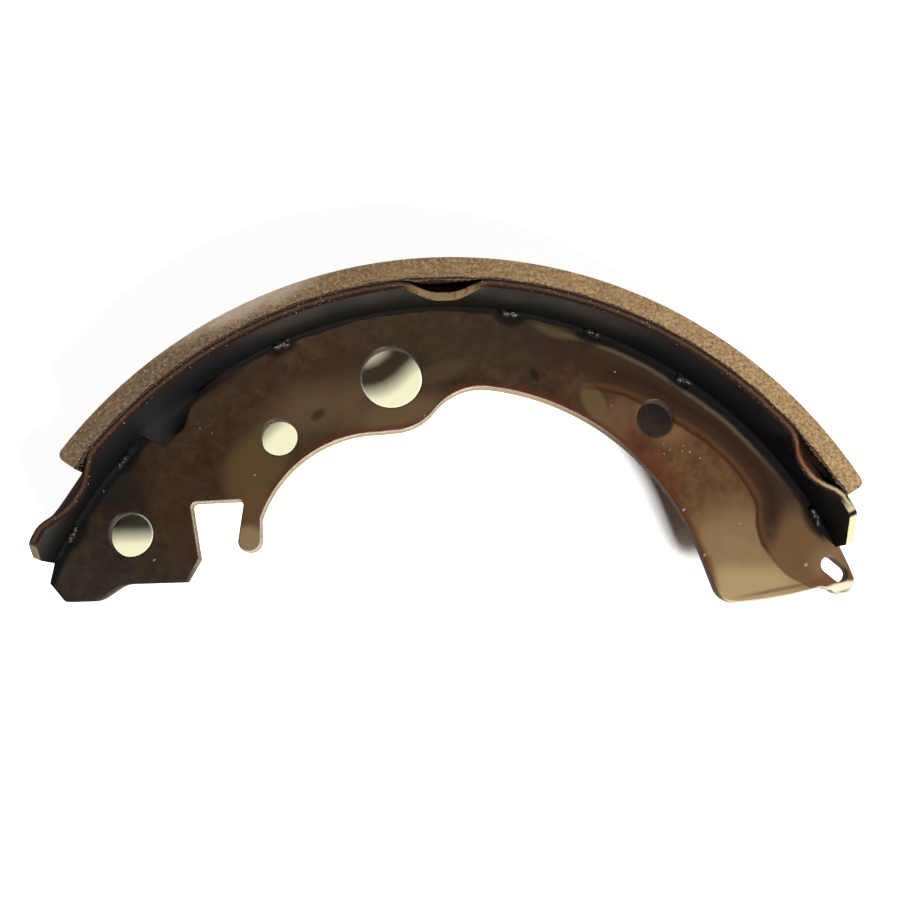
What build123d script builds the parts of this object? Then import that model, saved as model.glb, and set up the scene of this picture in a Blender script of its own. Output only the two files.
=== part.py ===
from build123d import *
import math
import os

# Bonded drum brake shoe: a stamped web, a rolled rim welded across its outer edge,
# and a friction lining bonded round the rim.
#
# It is drawn about the drum axis, which is +Z. Angles are in degrees, clockwise from
# the crown (+Y) when seen from above, so the toe is on the left and the heel on the
# right. Lengths are in millimetres. At the end the shoe is moved so that the origin
# is under the middle of its box, with the lower rim edge on Z = 0.

# ---- layers, from the drum inward ----
lining_radius = 100.0      # friction face, to suit a drum of 200 mm
lining_thick = 4.5
bond_thick = 0.15          # cured adhesive film
rim_thick = 1.8
web_thick = 3.0

# ---- widths along the drum axis ----
rim_width = 35.0
lining_inset = 0.2         # lining edge stands back from the rim edge

# ---- where the layers start and end round the axis ----
rim_toe_angle = -66.2
rim_heel_angle = 66.9
lining_toe_angle = -54.1
lining_heel_angle = 60.8
lining_toe_corner = 1.6    # radius on the outer corner of each lining end
lining_heel_corner = 1.7

# ---- clipped corners of the rim: along the arc, and across the rim ----
toe_clip_length = 2.8
toe_clip_width = 7.0
heel_clip_length = 6.3
heel_clip_width = 10.0
clip_round = 1.3           # each clip meets the rim edge in a round this long

# ---- pads: dips pressed into the rim edges, which slide on the backing plate ----
pad_angles = (-56.9, -0.3, 55.3)
pad_half_angles = (6.1, 6.1, 5.6)
pad_reach = 7.5            # how far a dip runs in from the edge
pad_depths = (3.1, 3.3, 3.2)
pad_flatness = 1.5         # 1 gives a plain wave, and more gives a flatter floor
pad_levels = 4             # spans between the cross-sections of a dip
pad_points = 10            # spans between the points of one skin of a dip

# ---- web: inner edge ----
crown_width = 18.4         # web width under the crown, above the large arch
arch_radius = 56.6
arch_offset = 2.05         # centre of the large arch, right of the drum axis
arch_end_angle = 72.0      # where the arch turns into the straight heel side
toe_arch_inset = 28.8      # top of the small arch, below the rim
toe_arch_radius = 27.7
boss_wall = 5.45           # metal round the hold-down hole
boss_blend = 13.5          # blend from that boss into the large arch

# ---- web: toe, below the end of the rim ----
toe_nose = (-0.85, -4.25)   # corners, from the point where the rim ends
toe_corner = (2.5, -8.35)
toe_corner_round = 1.0
toe_land = 7.2             # flat end face
toe_rise = 3.5             # step up from it to the underside
toe_rise_run = 5.3
toe_rise_blend = 5.0

# ---- web: strut notch and the finger beside it ----
notch_reach = 38.6         # middle of the notch floor, left of the hold-down hole
notch_inset = 43.5         # toe end of the notch floor, below the crown of the rim face
notch_rise = 0.35          # the floor rises by this much toward the finger
notch_width = 11.5
notch_lip = 12.3           # height of its toe side
notch_toe_lean = 9.0       # degrees that each side leans into the mouth
notch_finger_lean = 8.6
notch_corner = 1.0
lip_chamfer_width = 2.8
lip_chamfer_height = 4.8
finger_length = 11.4       # from the notch floor to the tip
finger_width = 5.1         # across the tip
finger_root = (3.7, 4.2)   # from the notch floor across and down to the small arch

# ---- web: heel and its tab ----
heel_side = 11.7           # straight side below the large arch
heel_corner = 4.8
heel_bottom_inset = (3.95, 8.85)   # where the heel underside meets the tab, from the rim end
heel_bow = 0.7             # the underside bows outward by this much
tab_wall = 1.4             # metal round the lower end of the slot
tab_drop = 1.2             # the tab's round sits below the end of the slot by this much
tab_step = 1.0             # beyond the rim end, the tab stands out from the rim's inner face
tab_blend = 1.0

# ---- web: relief in the outer edge, beside the toe ----
relief_depth = 4.9
relief_toe_angle = -45.9   # rim end of the steep side
relief_floor_angles = (-44.7, -41.0)
relief_ramp_angle = -37.8  # a point half way up the long side
relief_ramp_depth = 1.7
relief_heel_angle = -32.3

# ---- web: holes, each by its angle, its distance below the rim face and its size ----
lever_hole_angle = -57.9
lever_hole_inset = 11.6
lever_hole_diameter = 9.6
spring_hole_angle = -30.1
spring_hole_inset = 19.25
spring_hole_diameter = 8.1
hold_down_hole_angle = -8.9
hold_down_hole_inset = 15.2
hold_down_hole_diameter = 13.9
heel_hole_angle = 35.3
heel_hole_inset = 11.9
heel_hole_diameter = 8.4
slot_angle = 69.6
slot_inset = 2.4
slot_width = 3.7
slot_length = 6.7
slot_tilt = -42.0          # direction of the slot's long axis

# ---- weld beads in the corner between web and rim ----
weld_angles = (-61.8, -49.8, -23.2, 9.2, 21.1, 35.5, 62.4)
weld_leg = 1.3             # size of a bead across the corner
weld_length = 4.0

# ---- worked-out sizes ----
rim_outer = lining_radius - lining_thick - bond_thick
rim_inner = rim_outer - rim_thick
lining_inner = rim_outer + bond_thick
rim_edge = rim_width / 2
lining_edge = rim_edge - lining_inset
web_face = web_thick / 2
cutter = 10.0              # spare length on tools that cut right through


def polar(radius, angle):
    """Point at a radius from the drum axis, clockwise from the crown."""
    turn = math.radians(angle)
    return Vector(radius * math.sin(turn), radius * math.cos(turn))


def below_rim(inset, angle):
    """Point on the web, at a distance in from the rim's inner face."""
    return polar(rim_inner - inset, angle)


def axis_arc(radius, start, end):
    """Arc about the drum axis."""
    return CenterArc((0, 0), radius, 90 - start, start - end)


def arc_about(center, start, end):
    """The shorter arc about a centre, from one point on it to another."""
    radius = (start - center).length
    middle = center + ((start + end) / 2 - center).normalized() * radius
    return ThreePointArc(start, middle, end)


def circles_meet(center_a, radius_a, center_b, radius_b):
    """Where two circles cross, on the right of the line from a to b."""
    line = center_b - center_a
    along = (line.length**2 + radius_a**2 - radius_b**2) / (2 * line.length)
    across = math.sqrt(radius_a**2 - along**2)
    unit = line.normalized()
    return center_a + unit * along + Vector(unit.Y, -unit.X) * across


def sector(inner, outer, start, end):
    """Flat ring sector between two radii and two angles."""
    return make_face([
        axis_arc(outer, start, end),
        Line(polar(outer, end), polar(inner, end)),
        axis_arc(inner, end, start),
        Line(polar(inner, start), polar(outer, start)),
    ])


def round_corner(sketch, corner, radius):
    """Round the corner of a flat outline that lies nearest to a point."""
    vertex = sketch.vertices().sort_by_distance(Vertex(corner.X, corner.Y, 0))[0]
    return fillet(vertex, radius)


# ---- web ----

def inner_edge():
    """Edges from the finger to the heel, and the corners to round on them."""
    large = Vector(arch_offset, rim_inner - crown_width - arch_radius)
    boss = below_rim(hold_down_hole_inset, hold_down_hole_angle)
    boss_radius = hold_down_hole_diameter / 2 + boss_wall

    # the small arch starts at the root of the finger, and its top height is given
    root = notch_corners()[2] + Vector(finger_root[0], -finger_root[1])
    small_y = rim_inner - toe_arch_inset - toe_arch_radius
    small_x = root.X + math.sqrt(toe_arch_radius**2 - (root.Y - small_y)**2)
    small = Vector(small_x, small_y)
    arch_top = small + Vector(0, toe_arch_radius)
    boss_start = boss - Vector(0, boss_radius)
    boss_end = circles_meet(large, arch_radius, boss, boss_radius)
    arch_end = large + polar(arch_radius, arch_end_angle)
    heel = arch_end + polar(heel_side, arch_end_angle + 90)

    edges = [
        arc_about(small, root, arch_top),
        Spline(arch_top, boss_start, tangents=[Vector(1, 0), Vector(1, 0)]),
        arc_about(boss, boss_start, boss_end),
        arc_about(large, boss_end, arch_end),
        Line(arch_end, heel),
    ]
    return edges, root, boss_end, heel


def notch_corners():
    """Corners of the strut notch, and where the finger's round tip starts."""
    floor_y = rim_inner - notch_inset
    floor_x = below_rim(hold_down_hole_inset, hold_down_hole_angle).X - notch_reach
    toe_top = Vector(floor_x - notch_width / 2, floor_y)
    finger_top = Vector(floor_x + notch_width / 2, floor_y + notch_rise)
    toe_shift = notch_lip * math.tan(math.radians(notch_toe_lean))
    finger_side = finger_length - finger_width / 2
    finger_shift = finger_side * math.tan(math.radians(notch_finger_lean))
    toe_mouth = toe_top + Vector(toe_shift, -notch_lip)
    finger_left = finger_top + Vector(-finger_shift, -finger_side)
    return toe_mouth, toe_top, finger_top, finger_left


def web_outline():
    """Closed outline of the stamping, with its corners rounded."""
    rim_toe = polar(rim_inner, rim_toe_angle)
    rim_heel = polar(rim_inner, rim_heel_angle)
    inner, root, boss_end, heel = inner_edge()
    toe_mouth, toe_top, finger_top, finger_left = notch_corners()
    finger_tip = finger_left + Vector(finger_width / 2, -finger_width / 2)
    finger_right = finger_left + Vector(finger_width, 0)

    # toe, from the rim end round to the lip of the notch
    nose = rim_toe + Vector(*toe_nose)
    corner = rim_toe + Vector(*toe_corner)
    land_end = corner + Vector(toe_land, 0)
    rise_end = land_end + Vector(toe_rise_run, toe_rise)
    lip = toe_mouth - Vector(lip_chamfer_width, lip_chamfer_height)

    # tab round the lower end of the slot
    along_slot = Vector(math.cos(math.radians(slot_tilt)), math.sin(math.radians(slot_tilt)))
    slot_end = below_rim(slot_inset, slot_angle) + along_slot * (slot_length - slot_width) / 2
    tab = slot_end - Vector(0, tab_drop)
    tab_radius = slot_width / 2 + tab_wall
    tab_start = tab + Vector(-tab_radius, -tab_radius) / math.sqrt(2)
    tab_base = tab + Vector(0, -tab_radius)
    tab_end = tab + Vector(tab_radius, 0)
    tab_top = polar(rim_inner + tab_step, rim_heel_angle)
    tab_side = ((tab_end + tab_top) / 2).normalized() * (rim_inner + tab_step)
    underside_end = rim_heel - Vector(*heel_bottom_inset)

    # relief in the outer edge: its long side leaves the rim along the rim's own curve
    ramp_top = polar(rim_inner, relief_heel_angle)
    ramp_middle = below_rim(relief_ramp_depth, relief_ramp_angle)
    ramp_foot = below_rim(relief_depth, relief_floor_angles[1])
    floor_end = below_rim(relief_depth, relief_floor_angles[0])
    ramp_ways = [polar(1, relief_heel_angle - 90), ramp_foot - ramp_middle]

    outline = make_face([
        Polyline(rim_toe, nose, corner, land_end, rise_end, lip, toe_mouth, toe_top,
                 finger_top, finger_left),
        ThreePointArc(finger_left, finger_tip, finger_right),
        Line(finger_right, root),
        *inner,
        SagittaArc(heel, underside_end, -heel_bow),
        Line(underside_end, tab_start),
        ThreePointArc(tab_start, tab_base, tab_end),
        ThreePointArc(tab_end, tab_side, tab_top),
        Line(tab_top, rim_heel),
        axis_arc(rim_inner, rim_heel_angle, relief_heel_angle),
        Spline(ramp_top, ramp_middle, ramp_foot, tangents=ramp_ways),
        Line(ramp_foot, floor_end),
        Line(floor_end, polar(rim_inner, relief_toe_angle)),
        axis_arc(rim_inner, relief_toe_angle, rim_toe_angle),
    ])
    for point, radius in (
        (corner, toe_corner_round), (land_end, toe_rise_blend), (rise_end, toe_rise_blend),
        (toe_top, notch_corner), (finger_top, notch_corner),
        (boss_end, boss_blend), (heel, heel_corner), (underside_end, tab_blend),
    ):
        outline = round_corner(outline, point, radius)
    return outline


def make_web():
    """Flat stamping with its holes, at the middle of the rim's width."""
    outline = web_outline()
    for inset, angle, diameter in (
        (lever_hole_inset, lever_hole_angle, lever_hole_diameter),
        (spring_hole_inset, spring_hole_angle, spring_hole_diameter),
        (hold_down_hole_inset, hold_down_hole_angle, hold_down_hole_diameter),
        (heel_hole_inset, heel_hole_angle, heel_hole_diameter),
    ):
        place = below_rim(inset, angle)
        outline -= Pos(place.X, place.Y) * Circle(diameter / 2)
    place = below_rim(slot_inset, slot_angle)
    outline -= Pos(place.X, place.Y) * Rot(0, 0, slot_tilt) * SlotOverall(slot_length, slot_width)
    return extrude(outline, web_face, both=True)


# ---- rim ----

def pad_section(angle, half_angle, depth, height):
    """Cross-section of the rim at one height of a dip.

    Both skins bow toward the axis by a raised cosine of the angle, flattened at its
    floor. So they leave the plain rim without a crease, and the sheet keeps its
    thickness.
    """
    start, end = angle - half_angle, angle + half_angle

    def skin(radius, first, last):
        if depth == 0:
            return axis_arc(radius, first, last)
        points = []
        for step in range(pad_points + 1):
            at = first + (last - first) * step / pad_points
            wave = 0.5 + 0.5 * math.cos(math.pi * (at - angle) / half_angle)
            fall = 1 - (1 - wave) ** pad_flatness
            points.append(polar(radius - depth * fall, at))
        way = 1 if last > first else -1
        ends = [polar(way, first + 90), polar(way, last + 90)]
        return Spline(points, tangents=ends)

    section = make_face([
        skin(rim_outer, start, end),
        Line(polar(rim_outer, end), polar(rim_inner, end)),
        skin(rim_inner, end, start),
        Line(polar(rim_inner, start), polar(rim_outer, start)),
    ])
    return Pos(0, 0, height) * section


def make_pad(angle, half_angle, depth):
    """A dip in the upper edge: it deepens along a quarter cosine toward the edge."""
    sections = []
    for level in range(pad_levels + 1):
        share = level / pad_levels
        fall = depth * (1 - math.cos(math.pi / 2 * share))
        height = rim_edge - pad_reach * (1 - share)
        sections.append(pad_section(angle, half_angle, fall, height))
    return loft(sections)


def clip_tool(end_angle, length, width, way):
    """Prism that takes the corner off the upper edge of a rim end.

    Its profile lies across the rim end: x runs back along the rim and y up to the edge.
    The slanted side turns into the edge through an arc, so no sharp corner is left.
    """
    slope = Vector(length, width)
    round_start = slope - slope.normalized() * clip_round
    round_end = slope + Vector(clip_round, 0)
    low = -slope * (cutter / length)
    profile = make_face([
        Line(low, round_start),
        TangentArc(round_start, round_end, tangent=slope),
        Polyline(round_end, round_end + Vector(0, width), Vector(low.X, length + width), low),
    ])
    corner = polar(rim_inner - cutter, end_angle)
    along = polar(-way, end_angle + 90)
    out = polar(1, end_angle)
    place = Plane(Vector(corner.X, corner.Y, rim_edge - width), x_dir=along, z_dir=out * way)
    return extrude(place * profile, way * 2 * cutter)


def make_rim():
    """Rolled strip with the pads pressed into both edges and clipped corners."""
    strip = sector(rim_inner, rim_outer, rim_toe_angle, rim_heel_angle)
    rim = extrude(strip, rim_edge, both=True)
    for angle, half_angle, depth in zip(pad_angles, pad_half_angles, pad_depths):
        window = sector(rim_inner - 1, rim_outer + 1, angle - half_angle,
                        angle + half_angle)
        opening = Pos(0, 0, rim_edge - pad_reach) * extrude(window, pad_reach + 1)
        pad = make_pad(angle, half_angle, depth)
        rim = rim - opening - mirror(opening, Plane.XY)
        rim = rim + pad + mirror(pad, Plane.XY)
    toe_tool = clip_tool(rim_toe_angle, toe_clip_length, toe_clip_width, -1)
    heel_tool = clip_tool(rim_heel_angle, heel_clip_length, heel_clip_width, 1)
    for tool in (toe_tool, heel_tool):
        rim = rim - tool - mirror(tool, Plane.XY)
    return rim


# ---- lining, bond and welds ----

def make_lining():
    """Friction arc, with the outer corner of each end rounded."""
    face = sector(lining_inner, lining_radius, lining_toe_angle, lining_heel_angle)
    face = round_corner(face, polar(lining_radius, lining_toe_angle), lining_toe_corner)
    face = round_corner(face, polar(lining_radius, lining_heel_angle), lining_heel_corner)
    return extrude(face, lining_edge, both=True)


def make_bond():
    """Adhesive film under the whole lining."""
    film = sector(rim_outer, lining_inner, lining_toe_angle, lining_heel_angle)
    return extrude(film, lining_edge, both=True)


def make_welds():
    """Beads on both faces of the web, each a quarter of an egg set into the corner."""
    egg = scale(Sphere(weld_leg), by=(1, weld_length / weld_leg / 2, 1))
    egg = Pos(rim_inner, 0, web_face) * egg
    above_web = Pos(rim_inner, 0, web_face) * Box(
        cutter, cutter, cutter, align=(Align.CENTER, Align.CENTER, Align.MIN))
    bead = egg & above_web & Cylinder(rim_inner, rim_width)
    beads = []
    for angle in weld_angles:
        placed = Rot(0, 0, 90 - angle) * bead
        beads += [placed, mirror(placed, Plane.XY)]
    return Compound(children=[solid for bead in beads for solid in bead.solids()])


def main():
    nodes = {
        "web": make_web(),
        "rim": make_rim(),
        "lining": make_lining(),
        "bond": make_bond(),
        "weld_beads": make_welds(),
    }
    boxes = [shape.bounding_box() for shape in nodes.values()]
    middle_x = (min(box.min.X for box in boxes) + max(box.max.X for box in boxes)) / 2
    middle_y = (min(box.min.Y for box in boxes) + max(box.max.Y for box in boxes)) / 2
    rest = Pos(-middle_x, -middle_y, rim_edge)
    os.makedirs("parts", exist_ok=True)
    for name, shape in nodes.items():
        export_step(rest * shape, f"parts/{name}.step")
    print(f"drum axis at X {-middle_x:.3f}, Y {-middle_y:.3f}")


main()
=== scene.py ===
# %% [markdown]
# # A bonded drum brake shoe on a white table
# The shoe is a flat stamped web, a curved rim welded across its outer edge, and a
# friction lining glued round the rim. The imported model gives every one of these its
# exact shape. What is left for Blender is finish: dipped varnish, granular friction
# compound, glue that was squeezed out, rough weld nuggets, and light.

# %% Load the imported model
import math
from types import SimpleNamespace
import bpy
import numpy as np
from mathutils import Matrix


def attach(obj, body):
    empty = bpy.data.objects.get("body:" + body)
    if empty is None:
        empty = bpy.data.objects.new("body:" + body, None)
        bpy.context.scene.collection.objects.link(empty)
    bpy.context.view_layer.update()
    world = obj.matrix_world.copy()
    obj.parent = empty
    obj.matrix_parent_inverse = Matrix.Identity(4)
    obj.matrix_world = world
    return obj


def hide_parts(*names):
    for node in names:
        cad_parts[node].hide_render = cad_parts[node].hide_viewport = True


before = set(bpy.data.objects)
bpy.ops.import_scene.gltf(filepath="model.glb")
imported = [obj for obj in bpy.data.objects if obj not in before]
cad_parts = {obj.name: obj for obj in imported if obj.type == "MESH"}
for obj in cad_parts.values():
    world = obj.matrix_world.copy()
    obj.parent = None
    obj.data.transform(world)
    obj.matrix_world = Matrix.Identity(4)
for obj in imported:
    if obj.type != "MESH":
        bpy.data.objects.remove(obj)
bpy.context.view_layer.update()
print("nodes:", sorted(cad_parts))

# %% [markdown]
# ## Where things are
# Brake shoes are drawn about the axis of their drum, so most places on this one are an
# angle and a radius. The angle runs clockwise from the crown, seen from above. Typing
# X, Y, Z for each bead would work too, but polar places stay readable.

# %% The drum axis, and a polar helper
MM = 0.001
AXIS = np.array([-1.278, -62.503, 17.5])       # drum axis at the middle of the web, mm
RIM_INNER, RIM_OUTER = 93.55, 95.35            # radius of the rim's two faces
RIM_EDGE, LINING_EDGE, WEB_FACE = 17.5, 17.3, 1.5   # height of each over mid-web
LINING_SPAN = (-53.9, 60.5)                    # first and last angle of the lining
WELD_ANGLES = (-61.8, -49.8, -23.2, 9.2, 21.1, 35.5, 62.4)


def polar_points(radius, angle, height):
    """x = r sin a, y = r cos a, z = h, all moved to the drum axis, in metres."""
    turn = np.radians(angle)
    points = np.stack(np.broadcast_arrays(radius * np.sin(turn), radius * np.cos(turn),
                                          height), axis=-1)
    return (points + AXIS) * MM


print("crown of the rim, m:", polar_points(RIM_INNER, 0.0, 0.0))

# %% [markdown]
# ## Camera
# The camera stands about 26 cm above the table and looks almost straight down, so the
# near edge of the rim looks larger than the web below it. A flat view without any
# perspective would be easier to measure, but it would show less of the inside of the
# rim. The lens is a little longer than normal and nothing is shifted.

# %% Camera
camera_data = bpy.data.cameras.new("camera")
camera_data.sensor_width = 36.0
camera_data.lens = 44.167
camera_data.clip_start = 0.01
camera = bpy.data.objects.new("camera", camera_data)
camera.location = (-0.012873, -0.040229, 0.261846)
camera.rotation_euler = [math.radians(a) for a in (9.03656, -2.59958, -1.71328)]
bpy.context.scene.collection.objects.link(camera)
bpy.context.scene.camera = camera
bpy.context.scene.view_settings.view_transform = "Standard"
print("camera height above the table, mm:", round(camera.location.z * 1000, 1))

# %% [markdown]
# ## Light
# One soft lamp stands low in front and to the right, about 50 degrees above the table.
# It lights the table below the web through the arch, and draws a bright line on every edge that
# faces it, which a painted highlight in the varnish makes brighter. It leaves the inside of the
# rim at the heel dark, and a painted shade makes it black. Its mirror image falls in front of
# the web, so the varnish keeps its dark colours. A lamp overhead would be simpler, but it would
# lie as a grey veil on the flat web.

# %% Lamp


def add_area_lamp(name, place, target, size, power):
    """A square lamp at place that faces target, both in metres."""
    data = bpy.data.lights.new(name, "AREA")
    data.shape = "SQUARE"
    data.size, data.energy = size, power
    lamp = bpy.data.objects.new(name, data)
    way = np.array(place) - np.array(target)
    lamp.location = place
    lamp.rotation_euler = (math.acos(way[2] / np.linalg.norm(way)), 0,
                           math.atan2(way[1], way[0]) + math.pi / 2)
    bpy.context.scene.collection.objects.link(lamp)
    return lamp


key_lamp = add_area_lamp("key_lamp", (0.23, -0.48, 0.62), (0, 0, 0), 0.13, 8.5)
print("lamp:", key_lamp.name, key_lamp.data.energy, "W")

# %% [markdown]
# ## Helpers for node trees
# The room and every finish are trees of nodes. They could be wired by hand in the
# shader editor, but a few short functions let a finish read like a recipe. Most take
# the tree first and give back an output socket. A mask is a value from 0 to 1.

# %% Nodes, sums and masks


def new_material(name):
    """A material with only a Principled shader and an output, and its node tree."""
    material = bpy.data.materials.new(name)
    material.use_nodes = True
    tree = material.node_tree
    return material, tree, tree.nodes["Principled BSDF"]


def node(tree, kind, settings=None, **values):
    """Adds a node; settings are its properties and values its input sockets."""
    made = tree.nodes.new(kind)
    for key_name, value in (settings or {}).items():
        setattr(made, key_name, value)
    for socket, value in values.items():
        made.inputs[socket.replace("_", " ")].default_value = value
    return made


def math_node(tree, operation, first, second=None, clamp=False):
    """first (operation) second, where each is a number or an output socket."""
    made = node(tree, "ShaderNodeMath", {"operation": operation, "use_clamp": clamp})
    for socket, value in zip(made.inputs, (first, second)):
        if hasattr(value, "links"):
            tree.links.new(value, socket)
        elif value is not None:
            socket.default_value = value
    return made.outputs[0]


def part_of(tree, mask, share):
    """A mask made weaker by a share, or kept only inside another mask."""
    return math_node(tree, "MULTIPLY", mask, share)


def either(tree, first, second):
    """The stronger of two masks at each point."""
    return math_node(tree, "MAXIMUM", first, second)


def spread(tree, value, first, last, low=0.0, high=1.0):
    """Carries first..last to low..high in a straight line, and holds both ends."""
    made = node(tree, "ShaderNodeMapRange", From_Min=first, From_Max=last, To_Min=low,
                To_Max=high)
    tree.links.new(value, made.inputs["Value"])
    return made.outputs["Result"]


def between(tree, value, low, high):
    """0 below low and 1 above high, with a smooth rise. It falls where low > high."""
    made = node(tree, "ShaderNodeMapRange", {"interpolation_type": "SMOOTHSTEP"},
                From_Min=low, From_Max=high)
    tree.links.new(value, made.inputs["Value"])
    return made.outputs["Result"]


print("mask helpers ready")

# %% Colours


def ramp(tree, value, stops):
    """Colours or greys spread over a value: stops are (position, colour or grey)."""
    made = tree.nodes.new("ShaderNodeValToRGB")
    elements = made.color_ramp.elements
    while len(elements) < len(stops):
        elements.new(0.5)
    for element, (position, color) in zip(elements, stops):
        element.position = position
        shade = (color,) * 3 if isinstance(color, (int, float)) else color
        element.color = (*shade, 1)
    tree.links.new(value, made.inputs["Fac"])
    return made.outputs["Color"]


def blend(tree, factor, first, second, mode="MIX"):
    """Mixes two colours by a factor; each may be a number, a colour or a socket."""
    made = node(tree, "ShaderNodeMix", {"data_type": "RGBA", "blend_type": mode})
    for socket, value in ((made.inputs[0], factor), (made.inputs[6], first),
                          (made.inputs[7], second)):
        if hasattr(value, "links"):
            tree.links.new(value, socket)
        elif isinstance(value, (int, float)):
            socket.default_value = value
        else:
            socket.default_value = (*value, 1)
    return made.outputs[2]


def paint(tree, color, mask, shade, share=1.0):
    """Lays a shade over the colour so far, where the mask is, as strongly as share."""
    return blend(tree, part_of(tree, mask, share), color, shade)


def srgb(red, green, blue):
    """Turns a colour from 0 to 255 as seen on a screen into linear light."""
    shade = np.array([red, green, blue]) / 255
    return tuple(np.where(shade <= 0.04045, shade / 12.92, ((shade + 0.055) / 1.055) ** 2.4))


print("varnish brown in linear light:", np.round(srgb(70, 55, 36), 3))

# %% [markdown]
# ## Room
# Overhead the room is dim, as in a corner of a workshop, and the flat web mirrors it
# darkly. Round the horizon it is white, and a camera that looks level sees white. An
# image of a sky could light the shoe too, but two greys are easier to judge.

# %% Room
world = bpy.data.worlds.new("room")
bpy.context.scene.world = world
world.use_nodes = True
tree = world.node_tree
tree.nodes.clear()
direction = tree.nodes.new("ShaderNodeSeparateXYZ")
tree.links.new(tree.nodes.new("ShaderNodeTexCoord").outputs["Generated"], direction.inputs[0])
room = tree.nodes.new("ShaderNodeBackground")
tree.links.new(ramp(tree, direction.outputs["Z"], [(0.1, (0.07, 0.069, 0.064)),
                                                   (0.6, (0.045, 0.045, 0.048))]),
               room.inputs["Color"])
white = node(tree, "ShaderNodeBackground", Color=(1, 1, 1, 1))
path = tree.nodes.new("ShaderNodeLightPath")
mirrored = either(tree, path.outputs["Is Glossy Ray"], path.outputs["Is Transmission Ray"])
level = math_node(tree, "LESS_THAN", direction.outputs["Z"], 0.03)
seen = either(tree, path.outputs["Is Camera Ray"], part_of(tree, mirrored, level))
mix = tree.nodes.new("ShaderNodeMixShader")
for source, target in zip((seen, room.outputs[0], white.outputs[0]), mix.inputs):
    tree.links.new(source, target)
tree.links.new(mix.outputs[0], tree.nodes.new("ShaderNodeOutputWorld").inputs["Surface"])
print("world has", len(tree.nodes), "nodes")

# %% [markdown]
# ## Coordinates for the finishes
# Varnish runs and glue lines follow the arc, so the materials need to know how far a
# point is from the drum axis and round which angle it lies. Both come from Object
# coordinates with a little arithmetic. A UV map could carry them as well, but the
# model's own meshes have none, and this works on every piece alike.

# %% Place, radius, angle and height inside a material


def drum_coordinates(tree):
    """Sockets: place in mm, radius in mm, angle in degrees, height over mid-web in mm.

    The position is moved to the drum axis and scaled to millimetres. The radius is the
    length of its x and y, and the angle is the arctangent of x over y.
    """
    where = tree.nodes.new("ShaderNodeTexCoord")
    scale = node(tree, "ShaderNodeVectorMath", {"operation": "MULTIPLY_ADD"})
    tree.links.new(where.outputs["Object"], scale.inputs[0])
    scale.inputs[1].default_value = (1000, 1000, 1000)
    scale.inputs[2].default_value = tuple(-AXIS)
    split = tree.nodes.new("ShaderNodeSeparateXYZ")
    tree.links.new(scale.outputs[0], split.inputs[0])
    flat = node(tree, "ShaderNodeVectorMath", {"operation": "MULTIPLY"})
    tree.links.new(scale.outputs[0], flat.inputs[0])
    flat.inputs[1].default_value = (1, 1, 0)
    length = node(tree, "ShaderNodeVectorMath", {"operation": "LENGTH"})
    tree.links.new(flat.outputs[0], length.inputs[0])
    turn = math_node(tree, "ARCTAN2", split.outputs["X"], split.outputs["Y"])
    angle = math_node(tree, "MULTIPLY", turn, 180 / math.pi)
    return SimpleNamespace(place=scale.outputs[0], radius=length.outputs["Value"],
                           angle=angle, height=split.outputs["Z"])


def noise(tree, place, size_mm, detail=4.0, roughness=0.55):
    """Noise between 0 and 1 whose blobs are about size_mm wide."""
    made = node(tree, "ShaderNodeTexNoise", Scale=1.0 / size_mm, Detail=detail,
                Roughness=roughness)
    tree.links.new(place, made.inputs["Vector"])
    return made.outputs["Fac"]


def centred(tree, value, strength):
    """A noise moved so that it swings about 0, times a strength."""
    return part_of(tree, math_node(tree, "SUBTRACT", value, 0.5), strength)


def flecks(tree, place, per_mm, size):
    """1 near the middle of each cell of a Voronoi pattern, and 0 elsewhere."""
    cells = node(tree, "ShaderNodeTexVoronoi", {"feature": "F1"}, Scale=per_mm)
    tree.links.new(place, cells.inputs["Vector"])
    return math_node(tree, "LESS_THAN", cells.outputs["Distance"], size)


def bumps(tree, height, strength, distance_mm, under=None):
    """A bump normal from a height socket, added to the normal under it."""
    made = node(tree, "ShaderNodeBump", Strength=strength, Distance=distance_mm * MM)
    tree.links.new(height, made.inputs["Height"])
    if under is not None:
        tree.links.new(under, made.inputs["Normal"])
    return made.outputs[0]


print("coordinate helpers ready")

# %% Pools, curves and edges, the shapes that wet varnish leaves


def pool(tree, place, middle, half_sizes, turn=0.0, edge=0.35, wobble=None):
    """1 inside an ellipse round middle, 0 outside, with a soft rim of width edge.

    The point is moved, turned and squeezed so that the ellipse becomes a unit circle.
    Its distance from the middle, plus a little wobble, is compared with 1.
    """
    squeeze = node(tree, "ShaderNodeMapping", {"vector_type": "TEXTURE"},
                   Location=(*middle, 0), Rotation=(0, 0, math.radians(turn)),
                   Scale=(*half_sizes, 40))
    tree.links.new(place, squeeze.inputs["Vector"])
    length = node(tree, "ShaderNodeVectorMath", {"operation": "LENGTH"})
    tree.links.new(squeeze.outputs[0], length.inputs[0])
    distance = length.outputs["Value"]
    if wobble is not None:
        distance = math_node(tree, "ADD", distance, wobble)
    return between(tree, distance, 1 + edge, 1 - edge)


def curve_of(tree, value, points, low, high):
    """A smooth curve through (value, result) points; results lie between low and high."""
    first, last = points[0][0], points[-1][0]
    made = tree.nodes.new("ShaderNodeFloatCurve")
    curve = made.mapping.curves[0]
    while len(curve.points) < len(points):
        curve.points.new(0.5, 0.5)
    for dot, (at, result) in zip(curve.points, points):
        dot.location = ((at - first) / (last - first), (result - low) / (high - low))
    made.mapping.update()
    tree.links.new(spread(tree, value, first, last), made.inputs["Value"])
    scaled = math_node(tree, "MULTIPLY", made.outputs["Value"], high - low)
    return math_node(tree, "ADD", scaled, low)


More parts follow.
